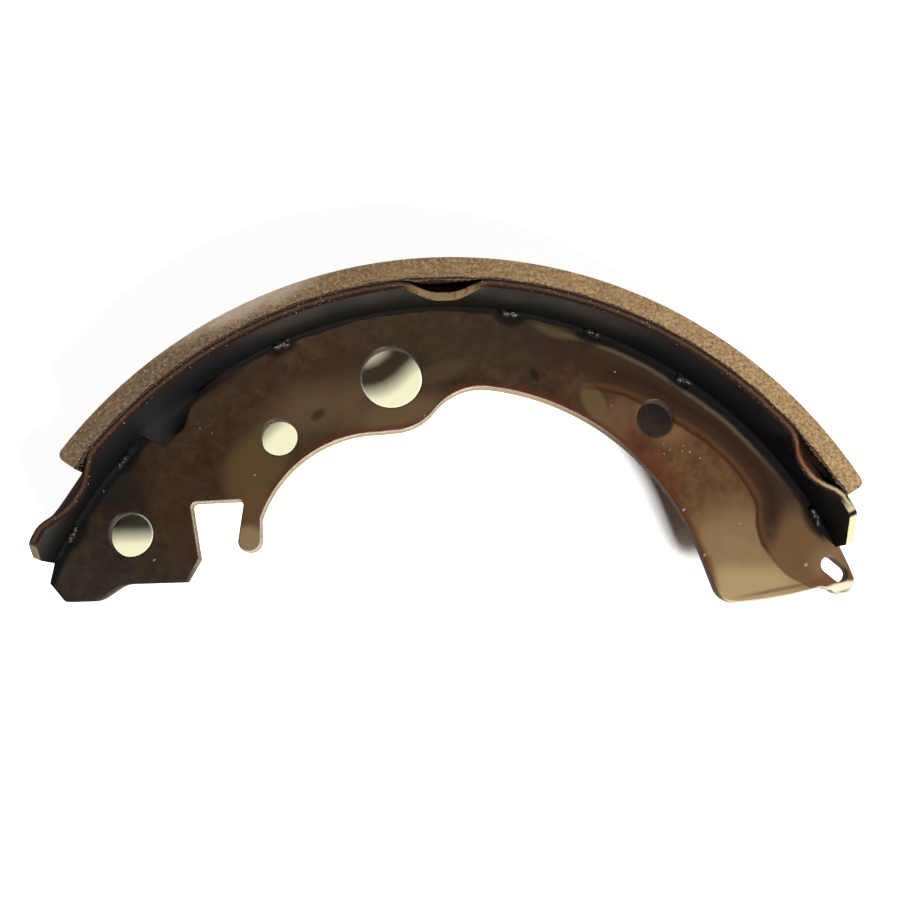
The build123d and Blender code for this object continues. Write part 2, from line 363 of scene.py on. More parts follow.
def facing(tree, normal, way, low, high):
    """0 where the normal's part along way is under low, and 1 where it is over high."""
    along = node(tree, "ShaderNodeVectorMath", {"operation": "DOT_PRODUCT"})
    tree.links.new(normal, along.inputs[0])
    along.inputs[1].default_value = way
    return between(tree, along.outputs["Value"], low, high)


def surface_normal(tree):
    """The way a face really looks, before any bump."""
    return tree.nodes.new("ShaderNodeNewGeometry").outputs["Normal"]


def rounded_edges(tree, radius_mm):
    """A normal that turns softly over each sharp edge, as if it were rounded."""
    return node(tree, "ShaderNodeBevel", {"samples": 4}, Radius=radius_mm * MM).outputs[0]


print("pools and edges ready")

# %% [markdown]
# ## Table
# The table is a white card. A product picture is white round the object, so a glow that
# only camera and mirror rays see lifts the card to white and leaves the shadow faint.
# Below the four round holes, at the relief and beside the right arm there is no glow, so the
# full shadow shows. There the card is cream in three places, a painted warm light from the
# varnish, and grey in two, a painted deeper shadow. More light would whiten the card as well,
# but it would bleach the shoe.

# %% Table
WARM_LIGHT_CREAM, SHADOW_GREY, WHITE = (0.95, 0.93, 0.63), (0.24, 0.28, 0.34), (0.97, 0.95, 0.93)
# places without glow: middle in mm from the drum axis, half sizes, turn, soft rim, colour; the
# cream is painted warm light and the grey painted shadow
BARE_CARD = [
    ((-74.1, 45.1), (5.9, 5.9), 0, 0.08, WARM_LIGHT_CREAM), ((-39.3, 67.7), (5.2, 5.2), 0, 0.08, WARM_LIGHT_CREAM),
    ((-12.2, 81.6), (8.5, 8.5), 0, 0.08, WARM_LIGHT_CREAM), ((51.7, 70.1), (5.4, 5.4), 0, 0.08, SHADOW_GREY),
    ((-55.5, 73.5), (11, 6), 40, 0.1, SHADOW_GREY), ((53, 53), (32, 15), -62, 0.5, WHITE),
]
HALF_TABLE = 4.0                               # metres

corners = [(x * HALF_TABLE, y * HALF_TABLE, 0) for x, y in ((-1, -1), (1, -1), (1, 1), (-1, 1))]
floor_mesh = bpy.data.meshes.new("table")
floor_mesh.from_pydata(corners, [], [(0, 1, 2, 3)])
table = bpy.data.objects.new("table", floor_mesh)
bpy.context.scene.collection.objects.link(table)
paper, tree, shader = new_material("table_card")
shader.inputs["Roughness"].default_value = 0.9
shader.inputs["Specular IOR Level"].default_value = 0.0
place = drum_coordinates(tree).place
bare, card = None, WHITE
# the cream and grey laid here are painted warm light and painted shadow on the white card
for middle, half_sizes, turn, edge, shade in BARE_CARD:
    mask = pool(tree, place, middle, half_sizes, turn, edge)
    card = blend(tree, mask, card, shade)
    bare = mask if bare is None else either(tree, bare, mask)
tree.links.new(card, shader.inputs["Base Color"])
path = tree.nodes.new("ShaderNodeLightPath")
mirrored = either(tree, path.outputs["Is Transmission Ray"],
                  part_of(tree, path.outputs["Is Glossy Ray"], 0.5))
seen = either(tree, path.outputs["Is Camera Ray"], mirrored)
glow = part_of(tree, part_of(tree, math_node(tree, "SUBTRACT", 1.0, bare), seen), 0.93)
shader.inputs["Emission Color"].default_value = (1, 1, 1, 1)
tree.links.new(glow, shader.inputs["Emission Strength"])
floor_mesh.materials.append(paper)
print("table is", table.dimensions.x, "m wide;", len(BARE_CARD), "places without glow")

# %% [markdown]
# ## Varnish on the web
# The web is dipped in thin brown varnish. Where it drained it is thin, and the steel
# below makes it khaki. Where it dried last it is dark, with a scalloped tide mark near
# the heel. Painting an image would be quicker, but a list of pools with a place, a size
# and a colour can be moved and mended one by one.

# %% Colours of the web's varnish
GROUND = [(-67, srgb(52, 44, 34)), (-60, srgb(50, 40, 30)), (-53, srgb(55, 39, 24)),
          (-42, srgb(60, 42, 27)), (-20, srgb(66, 48, 32)), (-5, srgb(62, 47, 32)),
          (10, srgb(61, 46, 31)), (18, srgb(62, 44, 29)), (27, srgb(74, 52, 34)),
          (34, srgb(90, 63, 41)), (45, srgb(92, 64, 39)), (53, srgb(98, 70, 43)),
          (63, srgb(116, 92, 60)), (72, srgb(122, 96, 64))]    # angle, colour
RED_BROWN = srgb(90, 42, 20)
CORNER_BLACK = srgb(13, 13, 15)
WELD_SHADE_BLACK = srgb(8, 8, 10)
PALE_LINE = srgb(104, 92, 72)
DUST = srgb(190, 180, 160)

# (what it is, middle in mm from the drum axis, half sizes, turn, soft rim, colour, share)
WEB_POOLS = [
    ("lighter ground right of the notch", (-27, 72), (13, 5.5), 22, 0.7, srgb(104, 82, 58), 0.6),
    ("lighter boss", (-9, 69), (10, 4), 8, 0.5, srgb(112, 88, 60), 0.65),
    ("olive patch over the finger", (-42, 58), (6, 9), -25, 0.35, srgb(92, 72, 44), 0.75),
    ("finger", (-42.8, 46), (4.5, 7), -5, 0.4, srgb(96, 70, 44), 0.8),
    ("finger tip", (-43.9, 40.5), (4.5, 4.2), 0, 0.25, srgb(140, 117, 84), 0.85),
    ("shade over the crown", (10, 86), (26, 5), -3, 0.6, srgb(58, 46, 36), 0.5),
    ("dark red field under the right shoulder", (31, 83), (9, 4.5), -22, 0.5,
     srgb(50, 33, 24), 0.6),
    ("olive patch at the shoulder", (26, 87.6), (5, 1.6), -18, 0.4, srgb(96, 82, 54), 0.6),
    ("swirl right of the big hole", (-0.4, 78.6), (7, 2.0), 18, 0.45, srgb(84, 66, 46), 0.55),
    ("dark field left of the big hole", (-22, 80), (8, 4), 18, 0.6, srgb(52, 37, 25), 0.5),
    ("red field by the notch", (-56, 45), (6, 9), 15, 0.6, srgb(62, 38, 24), 0.5),
    ("pale lobe by the arch", (33.5, 70.5), (5.5, 2.6), -65, 0.2, srgb(108, 86, 60), 0.65),
    ("ring round the heel hole", (48.6, 66.2), (6.6, 5.6), -35, 0.25, srgb(124, 92, 58), 0.6),
    ("thin varnish on the heel", (63, 34), (10.5, 11), 10, 0.5, srgb(134, 109, 74), 0.9),
    ("thin varnish at the heel corner", (65, 27.5), (13, 5), 5, 0.5, srgb(168, 144, 102), 0.85),
    # darker towards the toe corner by the rim
    ("darker toe corner by the rim", (-73, 55), (6, 9), 50, 0.5, srgb(27, 25, 22), 0.75),
    ("streak left of the heel hole", (38.2, 66), (3.0, 5.5), -20, 0.45, srgb(112, 84, 56), 0.6),
    ("dark nick", (20.3, 77.3), (0.9, 1.6), 30, 0.5, srgb(28, 20, 15), 0.8),
    ("dark nick by the boss", (-28.6, 69.2), (1.7, 0.9), 35, 0.5, srgb(36, 27, 20), 0.7),
    ("red stain by the arch", (46.5, 57.2), (9.0, 2.6), -50, 0.5, RED_BROWN, 0.6),
    ("brown stain below the heel hole", (44, 61.5), (4.0, 2.4), 20, 0.5, srgb(66, 40, 24), 0.5),
]
# pools that lie over the tide mark's thick varnish
LATE_POOLS = [
    ("brown ring round the slot", (85.0, 33.0), (5.4, 4.6), 0, 0.3, srgb(128, 100, 70), 0.6),
    ("red film under the slot", (84.8, 29.8), (4.6, 1.3), 10, 0.5, srgb(104, 58, 30), 0.6),
    # a painted highlight where the tab's rounded lower edge catches the lamp
    ("painted highlight under the tab", (86.4, 27.8), (4.0, 0.95), 12, 0.4, srgb(246, 236, 206), 0.92),
    ("red film along the heel edge", (73, 27.75), (8.5, 0.4), 9, 0.7, srgb(92, 56, 32), 0.6),
]
print(len(GROUND), "colours along the arc and", len(WEB_POOLS) + len(LATE_POOLS), "pools")

# %% Web varnish: the ground, and pools on it


def web_ground(tree, at, cloud, fine):
    """The colour along the arc, from toe to heel, times mottles of three sizes."""
    first, last = -75, 75
    color = ramp(tree, spread(tree, at.angle, first, last),
                 [((angle - first) / (last - first), shade) for angle, shade in GROUND])
    grain = noise(tree, at.place, 0.45, 3, 0.6)
    for cells, low, high in ((fine, 0.8, 1.2), (cloud, 0.84, 1.14), (grain, 0.88, 1.12)):
        mottle = ramp(tree, cells, [(0.36, low), (0.64, high)])
        color = blend(tree, 1.0, color, mottle, "MULTIPLY")
    return color


def paint_pools(tree, color, place, pools, wobble):
    """Every pool of a list, laid over the colour so far."""
    for words, middle, half_sizes, turn, edge, shade, share in pools:
        mask = pool(tree, place, middle, half_sizes, turn, edge, wobble)
        color = paint(tree, color, mask, shade, share)
    return color


print("largest pool:", max(WEB_POOLS, key=lambda row: row[2][0] * row[2][1])[0])

# %% Web varnish: the tide mark on the heel arm
TIDE = [(20, 78.5), (26, 81.5), (38, 83.4), (50, 84.3), (55, 83.2), (59, 80.1),
        (62.2, 79.2), (66, 79.8), (70, 83.6), (74, 90)]        # angle, radius in mm
THICK = [(0.0, srgb(60, 34, 19)), (0.05, srgb(84, 56, 33)), (0.16, srgb(60, 39, 24)),
         (0.5, srgb(45, 29, 18)), (1.0, srgb(60, 42, 28))]     # outward from the mark
THICK_WIDTH = 9                                                # mm
SCALLOP = 2.2                                  # how far the wobble moves a run, mm


def paint_tide_mark(tree, color, at, wobble):
    """Outside the tide mark the varnish on the heel arm is thick and dark."""
    scalloped = math_node(tree, "ADD", at.radius, part_of(tree, wobble, SCALLOP))
    over = math_node(tree, "SUBTRACT", scalloped, curve_of(tree, at.angle, TIDE, 70, 95))
    thick = ramp(tree, between(tree, over, 0, THICK_WIDTH), THICK)
    lobe_end = pool(tree, at.place, (80, 35), (9.5, 9), 20, 0.3, wobble)
    thick = paint(tree, thick, lobe_end, srgb(112, 84, 54), 0.75)
    beyond = part_of(tree, between(tree, over, -0.35, 0.35), between(tree, at.angle, 20, 27))
    return paint(tree, color, beyond, thick)


print("tide mark from", TIDE[0][0], "to", TIDE[-1][0], "degrees")

# %% Web varnish: the run along the arch, the black corner and the painted shade at the welds
ARCH = [(-46, 55), (-40, 61.4), (-36, 64.2), (-30, 66.2), (-21, 67), (-12, 65.6), (-6, 66),
        (-3, 68), (0, 71.6), (3, 73.6), (9, 74.8), (18, 74.3), (27, 73), (36, 71.5),
        (45, 69.5), (57, 65.7), (63, 64.2), (75, 60)]          # angle, radius in mm
CORNER_RADIUS = 90.9                           # where the black corner begins
WELD_RADIUS = 92.3                             # middle of the painted shade round the welds


def paint_arch_run(tree, color, at, wobble):
    """A red-brown run along the arch, where the last varnish hung."""
    over = math_node(tree, "SUBTRACT", at.radius, curve_of(tree, at.angle, ARCH, 50, 80))
    over = math_node(tree, "ADD", over, part_of(tree, wobble, SCALLOP))
    return paint(tree, color, between(tree, over, 2.5, 0.9), RED_BROWN, 0.75)


def paint_corner(tree, color, at, wobble):
    """Black under the rim on both arms, and a paler line along its inner side."""
    uneven = math_node(tree, "ADD", at.radius, part_of(tree, wobble, 1.2))
    arms = either(tree, between(tree, at.angle, 8, 24), between(tree, at.angle, -26, -36))
    black = part_of(tree, between(tree, uneven, CORNER_RADIUS, CORNER_RADIUS + 1), arms)
    black = part_of(tree, black, between(tree, at.angle, 66.5, 64))
    color = paint(tree, color, black, CORNER_BLACK, 0.93)
    off = math_node(tree, "ABSOLUTE", math_node(tree, "SUBTRACT", uneven, CORNER_RADIUS))
    heel_arm = part_of(tree, between(tree, at.angle, 15, 24), between(tree, at.angle, 58, 46))
    line = part_of(tree, between(tree, off, 0.8, 0.1), heel_arm)
    return paint(tree, color, line, PALE_LINE, 0.5)


def paint_weld_shade(tree, color, place, wobble):
    """Black painted shade round each weld, in the gap between web and rim and in the pits beside
    it.
    """
    for weld_angle in WELD_ANGLES:
        turn = math.radians(weld_angle)
        middle = (WELD_RADIUS * math.sin(turn), WELD_RADIUS * math.cos(turn))
        weld_shade = pool(tree, place, middle, (3.6, 1.9), -weld_angle, 0.35, wobble)
        color = paint(tree, color, weld_shade, WELD_SHADE_BLACK, 0.8)
    return color


# welds that get the painted shade
print("burnt spots:", len(WELD_ANGLES))

# %% Web varnish: dust, and painted light and shade on edges and cut walls
# middle in mm from the drum axis, and size
SPECKS = [((52.4, 45.9), 0.5), ((56.4, 35.7), 0.4), ((64.8, 42.5), 0.3), ((-64.3, 37.9), 0.4),
          ((38.6, 77.7), 0.3), ((50.1, 59.5), 0.3), ((54.6, 58.9), 0.35), ((56.8, 57.5), 0.3),
          ((-42.6, 56), 0.35), ((53.2, 60.4), 0.25), ((48.8, 60.8), 0.25), ((79.1, 32.9), 0.6)]
# middle in mm from the drum axis, and radius with the varnish that rounds the edge
HOLES = [((-69.4, 43.5), 6.0), ((-37.3, 64.3), 5.2), ((-12.1, 77.4), 8.2),
         ((47.2, 66.6), 5.4), ((84.9, 31.8), 3.9)]
# directions towards and away from the lamp, for the painted light and shade on edges
TOWARDS_LAMP, AWAY_FROM_LAMP = (0.6, -0.8, 0), (-0.9, 0.3, 0)


def paint_dust(tree, color, place, wobble):
    """Specks at places of their own, and then a fine scatter."""
    for middle, size in SPECKS:
        dot = pool(tree, place, middle, (size * 0.8, size * 0.5), 30, 0.5, wobble)
        color = paint(tree, color, dot, DUST, 0.55)
    return paint(tree, color, flecks(tree, place, 0.22, 0.035), DUST, 0.5)


def upright_walls(tree):
    """1 on the cut walls of the plate, whose normals lie level."""
    split = tree.nodes.new("ShaderNodeSeparateXYZ")
    tree.links.new(surface_normal(tree), split.inputs[0])
    return between(tree, math_node(tree, "ABSOLUTE", split.outputs["Z"]), 0.7, 0.3)


def paint_edge_light_and_shade(tree, color, at, edges, walls):
    """Painted light and shade on the edges and the cut walls, by the way they face the lamp.

    Edges that face the back left, away from the lamp, get a dark painted shade, and
    those that face the front right, towards it, a pale painted highlight. Walls go from
    brown to tan in the same way, as painted shade and light. Holes and the toe stay dark.
    """
    # painted shade on edges that face away from the lamp
    color = paint(tree, color, facing(tree, edges, AWAY_FROM_LAMP, 0.1, 0.5), srgb(54, 32, 22), 0.7)
    holes = None
    for middle, size in HOLES:
        hole = pool(tree, at.place, middle, (size, size), 0, 0.03)
        holes = hole if holes is None else either(tree, holes, hole)
    toe = between(tree, at.angle, -52, -60)
    # painted highlight on edges that face the lamp
    pale = facing(tree, edges, TOWARDS_LAMP, 0.1, 0.32)
    for kept_dark in (holes, walls, toe):
        pale = math_node(tree, "SUBTRACT", pale, kept_dark, clamp=True)
    color = paint(tree, color, pale, srgb(255, 250, 230), 0.9)
    # painted light and shade on the cut walls: tan towards the lamp, brown away from it
    wall_light_and_shade = ramp(tree, facing(tree, edges, TOWARDS_LAMP, 0.1, 0.6),
               [(0.0, srgb(70, 50, 34)), (1.0, srgb(178, 152, 108))])
    wall_light_and_shade = paint(tree, wall_light_and_shade, either(tree, holes, toe), srgb(62, 50, 36))
    return paint(tree, color, walls, wall_light_and_shade, 0.85)


print(len(SPECKS), "specks and", len(HOLES), "holes")

# %% Web varnish: all its layers


def make_web_varnish():
    """Every layer of the web's finish, from the ground up."""
    material, tree, shader = new_material("web_varnish")
    at = drum_coordinates(tree)
    cloud = noise(tree, at.place, 14, 3, 0.5)
    fine = noise(tree, at.place, 2.6, 5, 0.6)
    wobble = math_node(tree, "ADD", centred(tree, cloud, 1.1), centred(tree, fine, 0.35))
    edges = rounded_edges(tree, 0.75)
    walls = upright_walls(tree)
    color = web_ground(tree, at, cloud, fine)
    color = paint_pools(tree, color, at.place, WEB_POOLS, wobble)
    color = paint_tide_mark(tree, color, at, wobble)
    color = paint_pools(tree, color, at.place, LATE_POOLS, part_of(tree, wobble, 0.5))
    color = paint_arch_run(tree, color, at, wobble)
    color = paint_corner(tree, color, at, wobble)
    color = paint_weld_shade(tree, color, at.place, wobble)
    color = paint_dust(tree, color, at.place, wobble)
    color = paint_edge_light_and_shade(tree, color, at, edges, walls)
    tree.links.new(color, shader.inputs["Base Color"])
    gloss = ramp(tree, fine, [(0.3, 0.27), (0.7, 0.37)])
    tree.links.new(blend(tree, walls, gloss, (0.8, 0.8, 0.8)), shader.inputs["Roughness"])
    shader.inputs["Specular IOR Level"].default_value = 0.4
    wave = bumps(tree, cloud, 0.25, 0.4, edges)
    grain = bumps(tree, noise(tree, at.place, 0.6, 3), 0.1, 0.05, wave)
    tree.links.new(grain, shader.inputs["Normal"])
    return material


web_varnish = make_web_varnish()
print("web varnish nodes:", len(web_varnish.node_tree.nodes))

# %% [markdown]
# ## Varnish on the rim
# The same varnish is nearly black inside the curve, and a painted shade makes it darker towards
# the web and black on the arms. The sheared edge is rounded, with a dull pinkish painted
# highlight along its middle where the rounding catches the lamp, and it is dark red-brown on
# both sides of the line. The edge dips in three places, so the material first adds the depth of
# the dips to the radius, and then the line follows them. Painted by hand, the line would have to
# be redrawn whenever a dip changes.

# %% Rim varnish: how deep the edge dips
PADS = ((-56.9, 6.1, 3.1), (-0.3, 6.1, 3.3), (55.3, 5.6, 3.2))   # middle, half span, depth
DIP_POWER = 1.5


def dip_depth(tree, angle):
    """Depth of the dips at the edge, d * (1 - (1 - w) ** 1.5).

    Here w is the raised cosine of the angle from the middle of each pad.
    """
    total = None
    for middle, half, depth in PADS:
        turn = spread(tree, angle, middle - half, middle + half, -math.pi, math.pi)
        rest = math_node(tree, "MULTIPLY_ADD", math_node(tree, "COSINE", turn), -0.5)
        rest.node.inputs[2].default_value = 0.5
        part = math_node(tree, "MULTIPLY_ADD", math_node(tree, "POWER", rest, DIP_POWER),
                         -depth)
        part.node.inputs[2].default_value = depth
        total = part if total is None else math_node(tree, "ADD", total, part)
    return total


print("deepest dip, mm:", max(depth for middle, half, depth in PADS))

# %% Rim varnish: its faces and its two ends
# which way the end faces, angles between which its colour comes in, colour
RIM_ENDS = [((0.392, -0.92, 0), 58, 60, srgb(226, 214, 176)),
            ((-0.404, -0.915, 0), -58, -60, srgb(120, 102, 76))]


def rim_back(tree, at, normal):
    """1 on the face that looks away from the drum axis, under the lining.

    The outward part of the normal is its dot product with the place, over the radius.
    """
    dot = node(tree, "ShaderNodeVectorMath", {"operation": "DOT_PRODUCT"})
    tree.links.new(normal, dot.inputs[0])
    tree.links.new(at.place, dot.inputs[1])
    outward = math_node(tree, "DIVIDE", dot.outputs["Value"], at.radius)
    return either(tree, between(tree, at.radius, RIM_OUTER - 0.2, RIM_OUTER - 0.05),
                  between(tree, outward, 0.2, 0.6))


def rim_faces(tree, at, cloud, fine, from_web, back):
    """Charcoal inside, with painted shade that darkens it towards the web and leaves it paler
    towards the edges, and painted shade that makes it black on the arms; red-brown behind.
    """
    inside = ramp(tree, cloud, [(0.3, srgb(33, 32, 30)), (0.7, srgb(46, 42, 36))])
    # painted shade and light: darker towards the web, paler towards the edge
    shade_to_web = ramp(tree, between(tree, from_web, 1, 18),
                [(0.0, 0.3), (0.35, 0.6), (0.75, 1.5), (1.0, 1.9)])
    inside = blend(tree, 1.0, inside, shade_to_web, "MULTIPLY")
    # painted shade: black inside the rim on both arms
    arms = either(tree, between(tree, at.angle, 20, 32), between(tree, at.angle, -22, -32))
    arms = part_of(tree, arms, between(tree, at.angle, -62, -56))
    inside = paint(tree, inside, arms, srgb(15, 15, 16), 0.8)
    behind = ramp(tree, fine, [(0.36, srgb(44, 28, 22)), (0.64, srgb(98, 66, 52))])
    return blend(tree, back, inside, behind)


def paint_ends(tree, color, at, normal):
    """The two sheared ends of the rim: cream at the heel and beige at the toe."""
    for way, low, high, shade in RIM_ENDS:
        end = part_of(tree, facing(tree, normal, way, 0.7, 0.9),
                      between(tree, at.angle, low, high))
        color = paint(tree, color, end, shade)
    return color


print("rim ends:", len(RIM_ENDS))

# %% Rim varnish: across the sheared edge
EDGE_DARK = srgb(44, 28, 22)
# the colour of the painted highlight along the edge, from 30 degrees to the heel end
EDGE_HIGHLIGHT = [(0.0, srgb(88, 67, 51)), (0.6, srgb(104, 66, 47)), (0.82, srgb(146, 94, 66)),
             (1.0, srgb(214, 196, 158))]
# how strongly the painted highlight shows, from the inner face of the rim to the outer one
EDGE_HIGHLIGHT_PROFILE = [(0.25, 0.0), (0.5, 0.9), (0.66, 0.85), (0.84, 0.1), (1.0, 0.0)]


def rim_edge(tree, at, fine):
    """Dark, with a pale painted highlight, where the rounded edge catches the lamp, at about
    half way from the inner face to the outer one.

    At the dip of the crown the whole edge is dusty and broken, and near the heel end it
    is pale over its whole width.
    """
    followed = math_node(tree, "ADD", at.radius, dip_depth(tree, at.angle))
    across = math_node(tree, "DIVIDE", math_node(tree, "SUBTRACT", followed, RIM_INNER),
                       RIM_OUTER - RIM_INNER)
    ragged = math_node(tree, "ADD", across, centred(tree, fine, 0.45))
    dusty = pool(tree, at.place, (-0.5, 91), (10, 4.5), 0, 0.3)
    heel = between(tree, at.angle, 60.5, 63)
    wide = either(tree, ramp(tree, ragged, EDGE_HIGHLIGHT_PROFILE),
                  part_of(tree, either(tree, dusty, heel), 0.9))
    broken = ramp(tree, noise(tree, at.place, 1.4, 4, 0.7),
                  [(0.36, 0.15), (0.5, 1.0), (0.64, 1.15)])
    broken = blend(tree, broken, srgb(66, 30, 24), srgb(150, 124, 88))
    # painted highlight along the middle of the edge, then dust at the crown's dip
    line = ramp(tree, between(tree, at.angle, 30, 64.5), EDGE_HIGHLIGHT)
    line = paint(tree, line, dusty, srgb(132, 108, 78), 0.8)
    line = paint(tree, line, dusty, broken, 0.8)
    edge = blend(tree, wide, EDGE_DARK, line)
    glints = math_node(tree, "GREATER_THAN", noise(tree, at.place, 0.5, 2), 0.69)
    return paint(tree, edge, glints, srgb(220, 205, 180), 0.6)


print("edge of the rim, mm:", round(RIM_OUTER - RIM_INNER, 2))

# %% Rim varnish: all its layers


def make_rim_varnish():
    """The rim's finish: faces, then the edge, then the two ends."""
    material, tree, shader = new_material("rim_varnish")
    at = drum_coordinates(tree)
    normal = surface_normal(tree)
    fine = noise(tree, at.place, 0.9, 5, 0.65)
    cloud = noise(tree, at.place, 9, 3)
    from_web = math_node(tree, "ABSOLUTE", at.height)
    back = rim_back(tree, at, normal)
    color = rim_faces(tree, at, cloud, fine, from_web, back)
    near_edge = between(tree, from_web, RIM_EDGE - 0.25, RIM_EDGE - 0.03)
    color = paint(tree, color, near_edge, rim_edge(tree, at, fine))
    color = paint_ends(tree, color, at, normal)
    tree.links.new(color, shader.inputs["Base Color"])
    gloss = ramp(tree, cloud, [(0.3, 0.55), (0.7, 0.65)])
    tree.links.new(blend(tree, back, gloss, (0.8, 0.8, 0.8)), shader.inputs["Roughness"])
    shader.inputs["Specular IOR Level"].default_value = 0.06
    wave = bumps(tree, cloud, 0.3, 0.4, rounded_edges(tree, 0.4))
    tree.links.new(bumps(tree, fine, 0.3, 0.08, wave), shader.inputs["Normal"])
    return material


rim_varnish = make_rim_varnish()
print("rim varnish nodes:", len(rim_varnish.node_tree.nodes))

# %% [markdown]
# ## Friction compound
# The lining is moulded from resin, fibres and mineral grit. Cut faces show a tan ground with
# dark grit and pale flecks. The ground is lighter towards the heel, partly its own tone and
# partly painted light, and the upward edge of the left arm gets a pale painted glare. A scanned
# texture would have to be unwrapped, so two sizes of noise make the ground, and cells of a
# Voronoi pattern make the flecks.

# %% Friction compound
TAN_GROUND_AND_LIGHT = [(0.1, srgb(118, 96, 72)), (0.42, srgb(140, 113, 80)), (0.62, srgb(154, 125, 88)),
              (1.0, srgb(168, 137, 98))]       # from toe to heel; lighter to the heel, partly as painted light


def make_compound():
    """Tan ground, partly painted light towards the heel, times grit and shade, then flecks, then
    the painted glare on the left arm.
    """
    material, tree, shader = new_material("friction_compound")
    at = drum_coordinates(tree)
    fine = noise(tree, at.place, 0.75, 6, 0.7)
    color = ramp(tree, between(tree, at.angle, -60, 62), TAN_GROUND_AND_LIGHT)
    grit = ramp(tree, fine, [(0.36, 0.5), (0.5, 1.0), (0.64, 1.55)])
    shade = ramp(tree, noise(tree, at.place, 4, 3, 0.5), [(0.3, 0.88), (0.7, 1.1)])
    for layer in (grit, shade):
        color = blend(tree, 1.0, color, layer, "MULTIPLY")
    color = paint(tree, color, flecks(tree, at.place, 0.9, 0.17), srgb(206, 190, 160), 0.4)
    # a pale painted glare on the upward edge of the left arm
    glare_wobble = centred(tree, noise(tree, at.place, 5, 4, 0.6), 1.0)
    painted_glare = pool(tree, at.place, (-41.5, 90.6), (17, 2.2), 25, 0.7, glare_wobble)
    painted_glare = part_of(tree, painted_glare, facing(tree, surface_normal(tree), (0, 0, 1), 0.5, 0.8))
    color = paint(tree, color, painted_glare, srgb(208, 190, 168), 0.6)
    tree.links.new(color, shader.inputs["Base Color"])
    shader.inputs["Roughness"].default_value = 0.85
    shader.inputs["Specular IOR Level"].default_value = 0.25
    tree.links.new(bumps(tree, fine, 0.8, 0.3), shader.inputs["Normal"])
    return material


compound = make_compound()
print("compound nodes:", len(compound.node_tree.nodes))

# %% [markdown]
# ## Adhesive and weld metal
# Cured glue is dark red-brown and nearly dull, with paler dust caught in it. A varnished
# weld nugget is dark in its hollows and shows some metal on its peaks. Both are so small
# that one noise each is enough, spread over a few colours.

# %% Adhesive and weld metal


def make_grainy(name, grain, stops, roughness, bump, metallic=0.0):
    """A finish of one noise: grain is its size, detail and roughness, stops its colours."""
    material, tree, shader = new_material(name)
    fine = noise(tree, drum_coordinates(tree).place, *grain)
    tree.links.new(ramp(tree, fine, stops), shader.inputs["Base Color"])
    shader.inputs["Metallic"].default_value = metallic
    shader.inputs["Roughness"].default_value = roughness
    tree.links.new(bumps(tree, fine, *bump), shader.inputs["Normal"])
    return material


adhesive = make_grainy("cured_adhesive", (0.8, 5, 0.65),
                       [(0.35, srgb(38, 26, 17)), (0.6, srgb(70, 48, 32)),
                        (0.75, srgb(130, 102, 72))], 0.55, (0.6, 0.2))
weld_metal = make_grainy("weld_metal", (1.3, 2, 0.5),
                         [(0.44, srgb(26, 23, 21)), (0.6, srgb(56, 50, 43)),
                          (0.72, srgb(140, 132, 118))], 0.42, (0.2, 0.15), metallic=0.3)
print("made", adhesive.name, "and", weld_metal.name)

# %% [markdown]
# ## The finishes on the model's own pieces
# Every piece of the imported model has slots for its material. Each slot gets the finish
# of its piece, and the meshes stay as they came. Faces could get materials one by one,
# but each of these pieces is a single stuff.

# %% Put the finishes on
FINISH = {"web": web_varnish, "rim": rim_varnish, "lining": compound, "bond": adhesive,
          "weld_beads": weld_metal}
for name, material in FINISH.items():
    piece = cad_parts[name]
    for slot in piece.material_slots:
        slot.material = material
    if not piece.material_slots:
        piece.data.materials.append(material)
    print(name, "->", material.name)

# %% [markdown]
# ## Lumps and runs
# Three things on a real shoe have no exact shape: weld nuggets, pressed-out glue and
# pooled varnish. Sculpting them by hand would work, but formulas over whole arrays keep
# them even, closed and light. Two shapes are enough: a tube along the arc, and an egg.

# %% Mesh helpers


def add_piece(name, points, faces, material):
    """An object from an (n, 3) array in metres and an (m, 4) array of corners."""
    mesh = bpy.data.meshes.new(name)
    mesh.from_pydata(points.tolist(), [], faces.tolist())
    mesh.materials.append(material)
    mesh.polygons.foreach_set("use_smooth", np.full(len(faces), True))
    piece = bpy.data.objects.new(name, mesh)
    bpy.context.scene.collection.objects.link(piece)
    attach(piece, "root")
    return piece


def tube_faces(rings, around):
    """Corner numbers of a tube of rings, each with around points.

    Point i of ring j has the number j * around + i. Faces join it to its neighbours,
    and each flat end is a fan of quads from its first point, so around must be even.
    The last step turns every face round, so that it looks outward.
    """
    j, i = np.meshgrid(np.arange(rings - 1), np.arange(around), indexing="ij")
    ahead = (i + 1) % around
    sides = np.stack([j * around + i, j * around + ahead, (j + 1) * around + ahead,
                      (j + 1) * around + i], axis=-1).reshape(-1, 4)
    k = np.arange(1, around - 2, 2)
    near = np.stack([np.zeros_like(k), k + 2, k + 1, k], axis=-1)
    far = np.stack([np.zeros_like(k), k, k + 1, k + 2], axis=-1) + (rings - 1) * around
    return np.concatenate([sides, near, far])[:, ::-1]


def joined(parts):
    """One mesh from (points, faces) pairs, with each pair's corner numbers moved on."""
    starts = np.cumsum([0] + [len(points) for points, faces in parts])
    return (np.concatenate([points for points, faces in parts]),
            np.concatenate([faces + start for (points, faces), start in zip(parts, starts)]))


def wander(values, seed, sizes, strengths):
    """Smooth random curve: a sum of sines with random phases.

    f(v) = sum of s * sin(2 pi v / size + phase), one term for each size and strength.
    """
    rng = np.random.default_rng(seed)
    total = np.zeros_like(values)
    for size, strength in zip(sizes, strengths):
        total = total + strength * np.sin(2 * np.pi * values / size + rng.uniform(0, 6.28))
    return total


